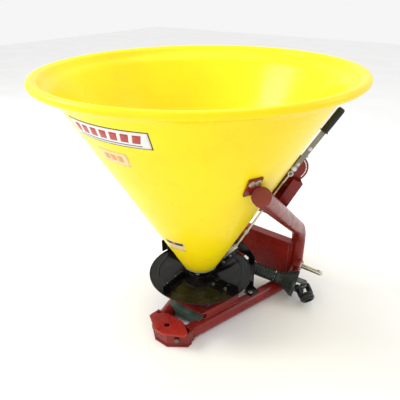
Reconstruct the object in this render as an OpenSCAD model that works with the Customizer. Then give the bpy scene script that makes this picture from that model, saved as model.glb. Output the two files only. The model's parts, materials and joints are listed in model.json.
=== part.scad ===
// Three-point-hitch broadcast spreader with a cone hopper, a spinner disc and a folded driveline.
// +Y points towards the tractor, +X to the right, +Z up.
// The origin is on the ground, under the hopper's axis.

/* [Hopper] */
// Outer diameter of the rolled rim
rim_d = 1080; // [1070:1:1090]
// Height of the rim above the ground
rim_z = 1020; // [1015:1:1030]
// Height of the cone's lower edge
cone_z = 246; // [246:1:248]
// Outer radius of the cone's lower edge
cone_r0 = 69; // [68:0.5:70]
// Height at which the cone starts to flare
flare_z = 959; // [955:1:962]
// Outer radius of the cone where it starts to flare
cone_r1 = 465; // [460:1:468]
// Wall thickness of the moulded hopper
wall = 5; // [4:0.5:6]

/* [Frame] */
// Outer diameter of the frame pipe
pipe_d = 60.3; // [60:0.1:60.6]
// Wall thickness of the frame pipe
pipe_wall = 4; // [3:0.5:5]
// Centreline radius of the pipe's bends
bend_r = 110; // [100:5:115]
// Height of the drive axis above the ground
drive_z = 128; // [127:0.5:129]
// Diameter of the lower hitch pins, category 1
hitch_pin_d = 22.2; // [22:0.1:22.4]
// Diameter of the upper link pin, category 1
top_pin_d = 19; // [19:0.1:19.2]

/* [Spinner] */
// Radius of the spinner disc
disc_r = 209; // [205:1:210]
// Height of the disc's lower face
disc_z = 204; // [204:0.5:206]
// Number of vanes on the disc
vane_count = 4; // [4]
// Height of each vane
vane_h = 32; // [26:1:33]

/* [Lever] */
// Direction of the lever's plane, in degrees from +X
lever_az = 39.4; // [38:0.2:40]
// Distance of the lever's pivot from the hopper's axis
pivot_r = 340; // [340:1:344]
// Height of the lever's pivot
pivot_z = 664; // [660:1:666]
// Length from the pivot to the end of the grip
lever_l = 262; // [240:1:265]
// Slope of the lever at rest
lever_el = 56.5; // [55:0.5:57]
// Radius of the crank that drives the control rod
crank_r = 20; // [18:0.5:20]

/* [Driveline] */
// Outer radius of the plastic shield tube
shield_r = 28; // [27:0.5:28]
// Radius of the shield's bell
bell_r = 60; // [50:1:60]
// Length from the first cross to the second
drive_l = 322; // [318:1:326]

/* [Hidden] */
$fn = 64;

pipe_r = pipe_d / 2;
pin_r = hitch_pin_d / 2;
rim_r = rim_d / 2;
slope = (cone_r1 - cone_r0) / (flare_z - cone_z);
cone_a = atan(slope);
function cone_r(z) = cone_r0 + slope * (z - cone_z);

// The frame pipe's centreline: rear end, front corner, top of the riser, upper end
pipe_rear = [65, -168, pipe_r];
pipe_front = [215, 426, pipe_r];
pipe_knee = [215, 434, 280];
pipe_end = [339, -124, 697];
plate_top = 68;
plate_t = 8;

shaft_r = 12.5;
run_gap = 0.05;
gear_teeth = 16;
gear_r = 28;
tooth_w = 2.6;

crank_a = 230;
crank_pin_r = 3;
rod_r = 4;
gate_gap = 1.5;
gate_half = 20;
foot_r = 142;
foot_z = 322;

cross_y = 240;
near = [0, cross_y, drive_z];
far = near + drive_l * unit([302, 93, -60]);
drive_dir = unit(far - near);
end_dir = unit([42, -28, -27]);
spline_r = 17.4;
yoke_hub_r = 25;
ear_in = 21;
ear_t = 10;
throat = 37;
trunnion_r = 8;

function unit(v) = v / norm(v);
function arc(cx, cy, r, a0, a1, n) =
    [for (i = [0:n]) [cx + r * cos(a0 + (a1 - a0) * i / n), cy + r * sin(a0 + (a1 - a0) * i / n)]];

red = [0.42, 0.06, 0.05];
black = [0.05, 0.05, 0.05];
steel = [0.7, 0.7, 0.68];
yellow = [0.98, 0.82, 0.02];

// Turns local +Z to the direction d, and moves the local origin to p.
module along(p, d) {
    translate(p) rotate([0, acos(d[2] / norm(d)), atan2(d[1], d[0])]) children();
}
// A rod of radius r from p to q.
module rod(p, q, r) along(p, q - p) cylinder(r = r, h = norm(q - p));
module mirror_x() { children(); mirror([1, 0, 0]) children(); }
// Local x and y are the radius and the height in the lever's plane, local z is off that plane.
module lever_plane(off = 0) rotate([90, 0, lever_az]) translate([0, 0, off]) children();
// The same, about the lever's pivot.
module at_pivot(off = 0) lever_plane(off) translate([pivot_r, pivot_z, 0]) children();
// A flat plate of thickness t from a 2D shape, in the lever's plane.
module lever_sheet(off, t) lever_plane(off) linear_extrude(t) children();
// A hexagon-head bolt, head down at local z = 0, shank down -Z.
module bolt(d, l) {
    cylinder(d = 1.75 * d, h = 0.65 * d, $fn = 6);
    translate([0, 0, -l]) cylinder(d = d, h = l);
}
module slab(x0, x1, y0, y1, z0, z1) translate([x0, y0, z0]) cube([x1 - x0, y1 - y0, z1 - z0]);

// ---- Hopper ----
// The wall flares over a fillet into a rolled bead.
flare_r = 68;
flare_c = [cone_r1 + flare_r * cos(cone_a), flare_z - flare_r * sin(cone_a)];
function hopper_outer() = concat(
    [[cone_r0, cone_z]],
    arc(flare_c[0], flare_c[1], flare_r, 180 - cone_a, 90, 8),
    arc(rim_r - 13, rim_z - 13, 13, -90, 90, 10));
function hopper_inner() = concat(
    [[rim_r - 27, rim_z - 1], [rim_r - 33, rim_z - 5]],
    arc(flare_c[0], flare_c[1], flare_r + wall, 115, 180 - cone_a, 6),
    [[cone_r0 - wall / cos(cone_a) + slope * wall, cone_z + wall], [45, cone_z + wall],
     [45, cone_z]]);
module hopper() color(yellow) difference() {
    rotate_extrude($fn = 160) polygon(concat(hopper_outer(), hopper_inner()));
    for (a = [0, 90, 180, 270]) rotate(a) translate([57, 0, cone_z - 1]) cylinder(d = 8.4, h = 10);
    mirror_x() mount_bolt_places() translate([0, 0, -25]) cylinder(d = 10.4, h = 50);
    // The metering port that the gate covers
    rotate(lever_az) slab(50, 90, -22, 22, cone_z + wall + 2, cone_z + wall + 17);
}
module hopper_base_plate() color(steel) difference() {
    translate([0, 0, cone_z - 4]) cylinder(r = cone_r0 - 1, h = 4);
    translate([0, 0, cone_z - 5]) cylinder(r = 17, h = 6);
    for (a = [0, 90, 180, 270]) rotate(a) translate([57, 0, cone_z - 5]) cylinder(d = 8.4, h = 6);
}
module hopper_base_bolts() color(steel) for (a = [0, 90, 180, 270])
    rotate(a) translate([57, 0, cone_z + wall]) bolt(8, wall + 4);
// Curved strips that the gate slides between.
module gate_guides() color(black) difference() {
    rotate_extrude($fn = 96) polygon([
        [cone_r(254) + 0.3, 254], [cone_r(292) + 0.3, 292],
        [cone_r(292) + 6.5, 289], [cone_r(254) + 6.5, 251]]);
    for (s = [-1, 1]) rotate(lever_az + s * (gate_half + 11)) sector_cut(s);
    rotate(lever_az + 180) slab(0, 200, -200, 200, 240, 300);
    rotate(lever_az) slab(0, 200, -34, 34, 240, 300);
}
module sector_cut(s) translate([0, s > 0 ? 0 : -200, 240]) cube([200, 200, 60]);

// ---- Pipe frame ----
module elbow(a, corner, b, r) {
    u = unit(corner - a);
    v = unit(b - corner);
    turn = acos(u * v);
    centre = corner + unit(v - u) * bend_r / cos(turn / 2);
    start = corner - u * bend_r * tan(turn / 2);
    x = unit(start - centre);
    z = cross(x, u);
    multmatrix([[x[0], u[0], z[0], centre[0]], [x[1], u[1], z[1], centre[1]],
                [x[2], u[2], z[2], centre[2]], [0, 0, 0, 1]])
        rotate_extrude(angle = turn, $fn = 96) translate([bend_r, 0]) circle(r = r, $fn = 48);
}
function setback(a, corner, b) =
    bend_r * tan(acos(unit(corner - a) * unit(b - corner)) / 2);
// Straight lengths stop 1 mm short of each bend, and a thin weld ring joins the two.
module pipe_path(r, over = 0) {
    t1 = setback(pipe_rear, pipe_front, pipe_knee);
    t2 = setback(pipe_front, pipe_knee, pipe_end);
    u = unit(pipe_front - pipe_rear);
    v = unit(pipe_knee - pipe_front);
    w = unit(pipe_end - pipe_knee);
    rod(pipe_rear - over * u, pipe_front - (t1 + 1) * u, r, $fn = 48);
    elbow(pipe_rear, pipe_front, pipe_knee, r);
    rod(pipe_front + (t1 + 1) * v, pipe_knee - (t2 + 1) * v, r, $fn = 48);
    elbow(pipe_front, pipe_knee, pipe_end, r);
    rod(pipe_knee + (t2 + 1) * w, pipe_end + over * w, r, $fn = 48);
    ring(pipe_front - t1 * u, u, r);
    ring(pipe_front + t1 * v, v, r);
    ring(pipe_knee - t2 * v, v, r);
    ring(pipe_knee + t2 * w, w, r);
}
module ring(p, d, r) along(p - 3 * d, d) cylinder(r = r + 0.4, h = 6);
module frame_tube() color(red) difference() {
    pipe_path(pipe_r);
    pipe_path(pipe_r - pipe_wall, 1);
    // The rear end is cut flush with the drawbar's front wall
    slab(20, 140, -260, -160, -10, 80);
}
module right_frame_tube() frame_tube();
module left_frame_tube() mirror([1, 0, 0]) frame_tube();
module tube_end_caps() color([0.6, 0.12, 0.05]) mirror_x()
    along(pipe_end, pipe_end - pipe_knee) cylinder(r = pipe_r, h = 3);

// The hopper mount plate lies on the cone, above the upper end of the pipe. Local +X runs down the cone.
mount_az = -22;
mount_z = 735;
module on_cone(az, z) rotate(az) translate([cone_r(z), 0, z]) rotate([0, 90 + cone_a, 0]) children();
module mount_bolt_places() for (v = [-18, 4])
    on_cone(mount_az, mount_z) translate([-12, v, 0]) children();
module hopper_mount_plates() color(red) mirror_x() difference() {
    on_cone(mount_az, mount_z) translate([0, 0, 1]) linear_extrude(6)
        polygon([[-30, -32], [-30, 17], [48, 26], [48, -26]]);
    mount_bolt_places() translate([0, 0, -10]) cylinder(d = 10.4, h = 30);
    pipe_path(pipe_r, 4);
}
module hopper_mount_bolts() color(steel) mirror_x()
    mount_bolt_places() translate([0, 0, 7]) bolt(10, 14);

// ---- Hitch ----
plate_y = 380;
module cross_plate() color(red) difference() {
    union() {
        translate([0, plate_y, 0]) rotate([90, 0, 0]) linear_extrude(6) polygon([
            [-206, 62], [-128, 58], [-34, 60], [-14, 98], [14, 98], [34, 60], [128, 58], [206, 62],
            [214, 232], [-214, 232]]);
        slab(-214, 214, plate_y - 6, plate_y + 36, 226, 232);
        mirror_x() slab(200, 206, plate_y - 6, plate_y + 44, 66, 232);
    }
    mirror_x() pipe_path(pipe_r + 0.2);
}
module top_link_bar() color(red) difference() {
    slab(-264, 264, 212, 250, 440, 448);
    mirror_x() pipe_path(pipe_r + 0.2);
}
module top_link_ears() color(red) mirror_x() difference() {
    translate([32, 0, 0]) rotate([90, 0, 90]) linear_extrude(8) polygon([
        [216, 448.2], [250, 448.2], [330, 556], [338, 582], [330, 604], [310, 606], [294, 588]]);
    translate([0, 318, 582]) rotate([0, 90, 0]) cylinder(d = top_pin_d + 0.3, h = 60);
}
hitch_y = 410;
hitch_z = 114;
module hitch_pin() color(steel) difference() {
    translate([0, hitch_y, hitch_z]) rotate([0, 90, 0]) union() {
        translate([0, 0, 226]) cylinder(r = pin_r + 2, h = 30);
        translate([0, 0, 256]) cylinder(r = pin_r, h = 92);
        translate([0, 0, 348]) cylinder(r1 = pin_r, r2 = pin_r - 3, h = 4);
    }
    translate([336, hitch_y, hitch_z - 20]) cylinder(d = 11, h = 40);
    pipe_path(pipe_r + 0.1);
}
module right_hitch_pin() hitch_pin();
module left_hitch_pin() mirror([1, 0, 0]) hitch_pin();
module hitch_pin_gussets() color(red) mirror_x() difference() {
    translate([226, hitch_y, hitch_z]) rotate([0, 90, 0]) cylinder(r = 24, h = 26);
    translate([220, hitch_y, hitch_z]) rotate([0, 90, 0]) cylinder(r = pin_r + 2.1, h = 40);
    pipe_path(pipe_r + 0.1);
}

// ---- Drawbar bracket at the rear ----
drawbar_hole = [0, -212];
module hexagon_outline(front, side, corner, rear, flat)
    polygon([[-40, front], [40, front], [side, corner + 22], [side, corner], [flat, rear],
             [-flat, rear], [-side, corner], [-side, corner + 22]]);
module drawbar_top_plate() color([0.62, 0.09, 0.06]) translate([0, 0, plate_top - plate_t])
    linear_extrude(plate_t) difference() {
        hexagon_outline(-160, 92, -216, -258, 22);
        translate(drawbar_hole) circle(d = 22);
    }
module drawbar_bottom_plate() color(red) linear_extrude(plate_t) difference() {
    hexagon_outline(-166, 98, -200, -250, 32);
    translate(drawbar_hole) circle(d = 22);
}
module drawbar_web() color(red) translate([0, 0, plate_t]) difference() {
    linear_extrude(plate_top - 2 * plate_t) difference() {
        polygon([[-96, -160], [96, -160], [94, -196], [30, -246], [-30, -246], [-94, -196]]);
        polygon([[-86, -168], [86, -168], [86, -193], [27, -238], [-27, -238], [-86, -193]]);
    }
    web_bolt_places() translate([0, 0, -30]) cylinder(d = 12.4, h = 60);
}
module web_bolt_places() mirror_x() translate([60, -223, 27])
    rotate([90, 0, 38]) children();
module drawbar_bolts() color([0.25, 0.25, 0.24]) translate([0, 0, plate_t]) web_bolt_places() {
    translate([0, 0, 1]) bolt(12, 16);
}
module rear_cross_bar() color([0.16, 0.24, 0.2]) difference() {
    union() {
        slab(-82, 82, -112, -106, 30, 66);
        slab(-82, 82, -112, -82, 60, 66);
    }
    mirror_x() pipe_path(pipe_r + 0.2);
}

// ---- Gearbox ----
box_z0 = 94;
box_z1 = 176;
module gearbox_support() color(red) difference() {
    union() {
        translate([0, 0, box_z0 - 8]) linear_extrude(8)
            polygon([[-87, -100], [87, -100], [135, 90], [-135, 90]]);
        mirror_x() translate([87, -100, 52]) rotate(-14.2) slab(-8, 0, 24, 190, 0, 36);
    }
    mirror_x() pipe_path(pipe_r + 0.1);
    gearbox_bolt_places() translate([0, 0, -30]) cylinder(d = 10.4, h = 60);
}
module gearbox_bolt_places() for (x = [-1, 1], y = [-1, 1])
    translate([x * 66, y * 40, box_z0 + 8]) children();
module gearbox_bolts() color(steel) gearbox_bolt_places() bolt(10, 24);
module gearbox_housing() color([0.12, 0.13, 0.13]) difference() {
    union() {
        slab(-48, 48, -46, 62, box_z0, box_z1 - 6);
        slab(-80, 80, -54, 54, box_z0, box_z0 + 8);
        translate([0, 100, drive_z]) rotate([90, 0, 0]) cylinder(r = 34, h = 60);
        translate([0, 0, 140]) cylinder(r = 40, h = box_z1 - 140);
    }
    slab(-38, 38, -56, 42, box_z0 + 3, box_z1 - 14);
    translate([0, 101, drive_z]) rotate([90, 0, 0]) cylinder(r = 26, h = 70);
    translate([0, 0, 150]) cylinder(r = 26, h = 40);
    gearbox_bolt_places() translate([0, 0, -30]) cylinder(d = 10.4, h = 60);
    for (x = [-1, 1], z = [-1, 1]) translate([x * 42, -40, 132 + z * 30]) rotate([90, 0, 0])
        cylinder(d = 6, h = 20);
}
module gearbox_cover() color([0.12, 0.13, 0.13]) difference() {
    slab(-48, 48, -51, -46, box_z0 + 8, box_z1 - 6);
    for (x = [-1, 1], z = [-1, 1]) translate([x * 42, -40, 132 + z * 30]) rotate([90, 0, 0])
        cylinder(d = 6, h = 20);
}
module bearing(outer, h) difference() {
    cylinder(r = outer, h = h);
    translate([0, 0, -1]) cylinder(r = shaft_r + run_gap, h = h + 2);
}
module bearings() color(steel) {
    translate([0, 0, 161]) bearing(26, 12);
    translate([0, 62, drive_z]) rotate([-90, 0, 0]) bearing(26, 13);
    translate([0, 80, drive_z]) rotate([-90, 0, 0]) bearing(26, 13);
}
module shaft_seals() color(black) {
    translate([0, 0, 173.5]) bearing(26, 4);
    translate([0, 94, drive_z]) rotate([-90, 0, 0]) bearing(26, 6);
}

// A straight-toothed bevel gear about +Z, with its cone's point at the origin.
module bevel_gear(phase) difference() {
    union() {
        rotate_extrude() polygon([[shaft_r, 20], [15.5, 20], [gear_r - 2, gear_r + 2.5],
            [gear_r - 2, gear_r + 5], [shaft_r, gear_r + 5]]);
        for (i = [0:gear_teeth - 1]) rotate(phase + i * 360 / gear_teeth) rotate([90, 0, 0])
            translate([0, 0, -tooth_w / 2]) linear_extrude(tooth_w) polygon([
                [19, 16.4], [gear_r + 1.4, gear_r - 1.2], [gear_r - 2.5, gear_r + 2.8], [15, 20.4]]);
    }
    cylinder(r = shaft_r + 0.02, h = 80);
}

// ---- Front guard, concentric with the disc ----
guard_r = 244;
module guard_band(a0, a1, z0, z1) rotate(90 - a1) rotate_extrude(angle = a1 - a0, $fn = 160)
    translate([guard_r - 3, z0]) square([3, z1 - z0]);
module front_guard() color(black) difference() {
    union() {
        difference() {
            guard_band(-84, 33, 63, 246);
            slab(-88, 88, 150, 300, 50, 188);
            rotate(123) slab(0, 300, 0, 300, 50, 188);
        }
        mirror_x() guard_foot();
        mirror_x() guard_stay();
    }
    // The right end of the upper edge slopes down
    translate([30, 0, 246]) rotate([0, 15, 0]) slab(-20, 300, 60, 300, 0, 80);
    guard_bolt_places() translate([0, 0, -10]) cylinder(d = 8.4, h = 20);
}
// The foot runs out over the frame pipe.
module guard_foot() translate([0, 0, 60.5]) linear_extrude(4) polygon([
    [92, 229], [134, 207], [168, 192], [160, 146], [122, 146], [104, 186]]);
module guard_bolt_places() mirror_x() translate([143, 164, 64.5]) children();
// The stay runs in to the hopper's base plate, above the vanes.
module guard_stay() rotate(90 - 20) slab(48, guard_r - 1, -12, 12, 238, 242);
module guard_bolts() color(steel) guard_bolt_places() bolt(8, 4);

// ---- Spinner ----
hub_r = 24;
module output_shaft() color(steel) translate([0, 0, 146]) cylinder(r = shaft_r, h = 134);
module crown_gear() color(steel) translate([0, 0, drive_z]) bevel_gear(360 / gear_teeth / 2);
module spinner_disc() color(black) difference() {
    rotate_extrude($fn = 128) polygon([[hub_r, disc_z], [disc_r - 4, disc_z],
        [disc_r, disc_z + 1], [disc_r, disc_z + 6], [disc_r - 3, disc_z + 6],
        [disc_r - 4, disc_z + 3], [hub_r, disc_z + 3]]);
    for (i = [0:vane_count - 1]) vane_bolt_places(i) cylinder(d = 8.2, h = 30, center = true);
    hub_bolt_places() cylinder(d = 8.2, h = 30, center = true);
}
module spinner_hub() color(black) difference() {
    union() {
        translate([0, 0, disc_z + 3]) cylinder(r = 40, h = 5);
        translate([0, 0, disc_z - 18]) cylinder(r = hub_r, h = 24);
        translate([0, 0, disc_z + 3]) cylinder(r = 22, h = 24);
    }
    translate([0, 0, disc_z - 20]) cylinder(r = shaft_r + 0.05, h = 60);
    hub_bolt_places() cylinder(d = 8.2, h = 30, center = true);
}
module hub_bolt_places() for (a = [20:90:290]) rotate(a) translate([32, 0, disc_z + 8]) children();
vane_in = 62;
vane_out = 210;
// Local +X runs outwards along vane i, which leans away from the radius.
module vane_frame(i) rotate(-10 - 90 * i)
    translate([150, 0, 0]) rotate(15) translate([-150, 0, 0]) children();
module vane_bolt_places(i) vane_frame(i) for (x = [100, 155]) translate([x, -12, disc_z + 6]) children();
module vane(i) color(black) difference() {
    vane_frame(i) union() {
        translate([0, 3, 0]) rotate([90, 0, 0]) linear_extrude(3) polygon([
            [vane_in, disc_z + 3], [vane_out, disc_z + 3], [vane_out, disc_z + vane_h],
            [vane_in + 22, disc_z + vane_h], [vane_in, disc_z + 20]]);
        slab(vane_in + 20, vane_out - 8, -24, 0, disc_z + 3, disc_z + 6);
    }
    vane_bolt_places(i) cylinder(d = 8.2, h = 30, center = true);
    translate([0, 0, disc_z + 2]) difference() {
        cylinder(r = 300, h = 60);
        translate([0, 0, -1]) cylinder(r = disc_r - 4.5, h = 62);
    }
}
module vane_1() vane(0);
module vane_2() vane(1);
module vane_3() vane(2);
module vane_4() vane(3);
module spinner_bolts() color(steel) {
    for (i = [0:vane_count - 1]) vane_bolt_places(i) bolt(8, 12);
    hub_bolt_places() bolt(8, 14);
}
module agitator() color(steel) difference() {
    union() {
        translate([0, 0, 256]) cylinder(r = 18, h = 22);
        rod([0, 0, 267], [46, 0, 300], 5);
        rod([0, 0, 267], [-46, 0, 300], 5);
    }
    cylinder(r = shaft_r + 0.05, h = 600);
}

// ---- Input shaft ----
module input_shaft() color(steel) union() {
    translate([0, 26, drive_z]) rotate([-90, 0, 0]) cylinder(r = shaft_r, h = 95);
    difference() {
        translate([0, 104, drive_z]) rotate([-90, 0, 0]) cylinder(r = spline_r, h = 95);
        for (i = [0:5]) translate([0, 104, drive_z]) rotate([-90, 0, 0]) rotate(i * 60)
            translate([14.8, -3, -1]) cube([5, 6, 100]);
    }
}
module pinion() color(steel) translate([0, 0, drive_z]) rotate([-90, 0, 0]) bevel_gear(90);

// ---- Lever ----
module lever_post() color(red) difference() {
    lever_plane(0) union() {
        linear_extrude(3) post_face(0, 80);
        linear_extrude(40) post_face(0, 3);
        translate([0, 0, 37]) linear_extrude(3) post_face(0, 41);
    }
    pipe_path(pipe_r + 0.2);
}
post_dir = [sin(cone_a), cos(cone_a)];
post_top = [373, 612];
// The strip between a and b inwards of the post's outer edge.
module post_face(a, b) {
    n = [-post_dir[1], post_dir[0]];
    polygon([post_top + a * n, post_top + b * n, post_top + b * n - 118 * post_dir,
        post_top + a * n - 128 * post_dir]);
}
module quadrant_plate() color(red) difference() {
    lever_sheet(9, 5) difference() {
        union() {
            translate([pivot_r, pivot_z]) circle(r = 54, $fn = 96);
            polygon([post_top, post_top - 40 * post_dir, [296, 592], [314, 624], [346, 690]]);
        }
        // Clear of the cone
        polygon([[cone_r(480) + 12, 480], [cone_r(760) + 12, 760], [100, 760], [100, 480]]);
        for (i = [0:13]) rotate_about(50 - 7.5 * i) translate([46, 0]) circle(d = 5, $fn = 24);
    }
    lever_sheet(8, 7) post_face(-5, 3);
    at_pivot(0) cylinder(r = 6.2, h = 40);
}
module rotate_about(a) translate([pivot_r, pivot_z]) rotate(a) children();
module lever_pivot_bolt() color(steel) at_pivot(0) {
    translate([0, 0, -9]) cylinder(d = 21, h = 5, $fn = 6);
    translate([0, 0, -4]) cylinder(r = 6, h = 27.5);
    translate([0, 0, 23]) cylinder(d = 17, h = 2, $fn = 6);
}
bar_off = 15.5;
module lever_bar() color([0.45, 0.44, 0.42]) difference() {
    lever_plane(bar_off) union() {
        linear_extrude(7) rotate_about(lever_el) union() {
            translate([0, -9]) square([lever_l - 60, 18]);
            circle(r = 12);
        }
        linear_extrude(7) rotate_about(crank_a) union() {
            translate([0, -6]) square([crank_r, 12]);
            translate([crank_r, 0]) circle(r = 7);
        }
        rotate_about(crank_a) translate([crank_r, 0, 7]) cylinder(r = crank_pin_r, h = 12);
    }
    at_pivot(0) cylinder(r = 6.05, h = 40);
}
module lever_grip() color(black) at_pivot(bar_off + 3.5) rotate(lever_el) difference() {
    union() {
        translate([lever_l - 96, 0, 0]) rotate([0, 90, 0]) cylinder(r = 14, h = 84);
        translate([lever_l - 12, 0, 0]) rotate([0, 90, 0]) cylinder(r1 = 14, r2 = 9, h = 12);
        translate([lever_l - 98, 0, 0]) rotate([0, 90, 0]) cylinder(r = 16, h = 5);
    }
    translate([lever_l - 100, -9.1, -3.6]) cube([41, 18.2, 7.2]);
}
module lever_bolts() color(steel) for (x = [22, 90]) at_pivot(bar_off + 7) rotate(lever_el)
    translate([x, 0, 0]) cylinder(d = 11, h = 4, $fn = 6);
// The travel stop's finger turns on the pivot bolt, behind the quadrant plate.
stop_a = 44;
module travel_stop() color(steel) lever_plane(0) rotate_about(stop_a) difference() {
    union() {
        translate([0, 0, -1]) cylinder(r = 11, h = 4.2);
        translate([0, -5, -1]) cube([62, 10, 4.2]);
        translate([62, 0, -1]) cylinder(r = 5, h = 16);
    }
    translate([0, 0, -2]) cylinder(r = 6.05, h = 8);
}

// ---- Metering gate and control rod ----
module gate() color(steel) {
    lever_plane(-10) translate([foot_r, foot_z, 0]) cylinder(r = 3, h = 20);
    difference() {
    union() {
        rotate(lever_az - gate_half) rotate_extrude(angle = 2 * gate_half, $fn = 96) polygon([
            [cone_r(249) + gate_gap, 249], [cone_r(276) + gate_gap, 276],
            [cone_r(276) + gate_gap + 3, 276], [cone_r(249) + gate_gap + 3, 249]]);
        // The pull bar that runs up the cone to the rod
        lever_sheet(-8, 16) polygon([
            [cone_r(268) + 4, 268], [foot_r - 7, foot_z + 4], [foot_r + 2, foot_z + 8],
            [foot_r + 7, foot_z], [foot_r, foot_z - 6], [cone_r(268) + 9, 266]]);
    }
    lever_sheet(-5.5, 11) translate([foot_r, foot_z]) circle(r = 11);
    }
}
crank_pin = [pivot_r + crank_r * cos(crank_a), pivot_z + crank_r * sin(crank_a)];
rod_off = bar_off + 13;
module control_rod() color(steel) lever_plane(0) {
    jog = [crank_pin[0] - 24, crank_pin[1] - 34, rod_off];
    low = [foot_r + 14, foot_z + 24, 0];
    rod([crank_pin[0] - 5.5, crank_pin[1] - 7.5, rod_off], jog, rod_r);
    translate(jog) sphere(r = rod_r + 0.4);
    rod(jog, low, rod_r);
    translate(low) sphere(r = rod_r + 0.6);
    rod(low, [foot_r + 2.4, foot_z + 4.3, 0], rod_r - 0.5);
    translate([foot_r, foot_z, -4.5]) difference() {
        cylinder(r = 7, h = 9);
        translate([0, 0, -1]) cylinder(r = crank_pin_r + run_gap, h = 11);
    }
    translate([crank_pin[0], crank_pin[1], rod_off - 3]) difference() {
        cylinder(r = 10, h = 6);
        translate([0, 0, -1]) cylinder(r = 7, h = 8);
    }
}

// ---- Driveline ----
// Two ears of a yoke, whose cross pin lies on local X, with the pin at local z = 0 and the hub below.
module yoke(hub_z, bore_r) difference() {
    union() {
        translate([0, 0, -hub_z]) cylinder(r = yoke_hub_r, h = hub_z - throat);
        translate([0, 0, -throat - 8]) cylinder(r = ear_in + ear_t, h = 8);
        for (s = [-1, 1]) translate([s * (ear_in + ear_t / 2), 0, 0]) {
            translate([-ear_t / 2, -13, -throat - 4]) cube([ear_t, 26, throat + 4]);
            rotate([0, 90, 0]) translate([0, 0, -ear_t / 2]) cylinder(r = 13, h = ear_t);
        }
    }
    translate([0, 0, -hub_z - 1]) cylinder(r = bore_r, h = hub_z - throat + 2);
    rotate([0, 90, 0]) translate([0, 0, -50]) cylinder(r = trunnion_r + run_gap, h = 100);
}
module cross_pins(a, b) {
    half = ear_in + ear_t - 1;
    rod(-half * a, half * a, trunnion_r);
    rod(-half * b, half * b, trunnion_r);
    sphere(r = 13);
}
module near_yoke() color([0.16, 0.16, 0.17]) translate(near)
    rotate([-90, 0, 0]) rotate(90) yoke(66, spline_r + 0.08);
pitch_axis = unit(cross([0, 0, 1], drive_dir));
module near_cross() color(steel) translate(near) cross_pins([0, 0, 1], pitch_axis);
// The shaft's own frame: +Z along the driveline, +X level.
module drive_frame(p = near) {
    y = cross(drive_dir, pitch_axis);
    multmatrix([[pitch_axis[0], y[0], drive_dir[0], p[0]], [pitch_axis[1], y[1], drive_dir[1], p[1]],
                [pitch_axis[2], y[2], drive_dir[2], p[2]], [0, 0, 0, 1]]) children();
}
module outer_drive_tube() color([0.16, 0.16, 0.17]) drive_frame() {
    mirror([0, 0, 1]) yoke(64, 1);
    difference() {
        translate([0, 0, 63]) cylinder(r = 20, h = 117);
        translate([0, 0, 68]) cylinder(r = 16.3, h = 125);
    }
}
module outer_shield() color([0.07, 0.09, 0.09]) drive_frame() difference() {
    union() {
        translate([0, 0, 64]) cylinder(r = shield_r, h = 130);
        translate([0, 0, 60]) cylinder(r = 33, h = 12);
    }
    translate([0, 0, 55]) cylinder(r = 25.4, h = 160);
}
module inner_drive_tube() color(steel) drive_frame() {
    difference() {
        translate([0, 0, 90]) cylinder(r = 16, h = drive_l - 90 - 57);
        translate([0, 0, 80]) cylinder(r = 12, h = drive_l - 90 - 61);
    }
    translate([0, 0, drive_l]) rotate(90) yoke(58, 1);
}
module shield_bell() color([0.07, 0.09, 0.09]) drive_frame() difference() {
    rotate_extrude($fn = 96) polygon([[16.1, 198], [27.5, 198], [27.5, 225], [33, 237], [43, 255],
        [bell_r - 2, 278], [bell_r, 292], [bell_r - 3, 292], [bell_r - 5, 279], [40, 257], [30, 239],
        [24.5, 227], [24.5, 212], [16.1, 212]]);
    for (a = [0, 180]) rotate(a) translate([20, -3, 202]) cube([20, 6, 4]);
}
far_a = cross(drive_dir, pitch_axis);
far_b = unit(cross(far_a, end_dir));
module far_cross() color(steel) translate(far) cross_pins(far_a, far_b);
module end_yoke() {
    y = cross(end_dir, far_b);
    color([0.1, 0.1, 0.1]) multmatrix([[far_b[0], y[0], -end_dir[0], far[0]],
        [far_b[1], y[1], -end_dir[1], far[1]], [far_b[2], y[2], -end_dir[2], far[2]], [0, 0, 0, 1]])
        mirror([0, 1, 0]) yoke(66, spline_r + 0.1);
}
module lock_collar() color([0.08, 0.08, 0.08]) along(far, end_dir) difference() {
    translate([0, 0, 48]) cylinder(r = 31, h = 13);
    translate([0, 0, 40]) cylinder(r = yoke_hub_r + run_gap, h = 30);
}

hopper();
hopper_base_plate();
hopper_base_bolts();
gate_guides();
right_frame_tube();
left_frame_tube();
tube_end_caps();
hopper_mount_plates();
hopper_mount_bolts();
cross_plate();
top_link_bar();
top_link_ears();
right_hitch_pin();
left_hitch_pin();
hitch_pin_gussets();
drawbar_top_plate();
drawbar_web();
drawbar_bottom_plate();
drawbar_bolts();
rear_cross_bar();
gearbox_support();
gearbox_bolts();
gearbox_housing();
gearbox_cover();
bearings();
shaft_seals();
front_guard();
guard_bolts();
lever_post();
quadrant_plate();
lever_pivot_bolt();
output_shaft();
crown_gear();
spinner_disc();
spinner_hub();
vane_1();
vane_2();
vane_3();
vane_4();
spinner_bolts();
agitator();
input_shaft();
pinion();
lever_bar();
lever_grip();
lever_bolts();
travel_stop();
gate();
control_rod();
near_yoke();
near_cross();
outer_drive_tube();
outer_shield();
inner_drive_tube();
shield_bell();
far_cross();
end_yoke();
lock_collar();
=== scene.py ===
import bpy
import json
import math
from mathutils import Matrix, Vector


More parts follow.
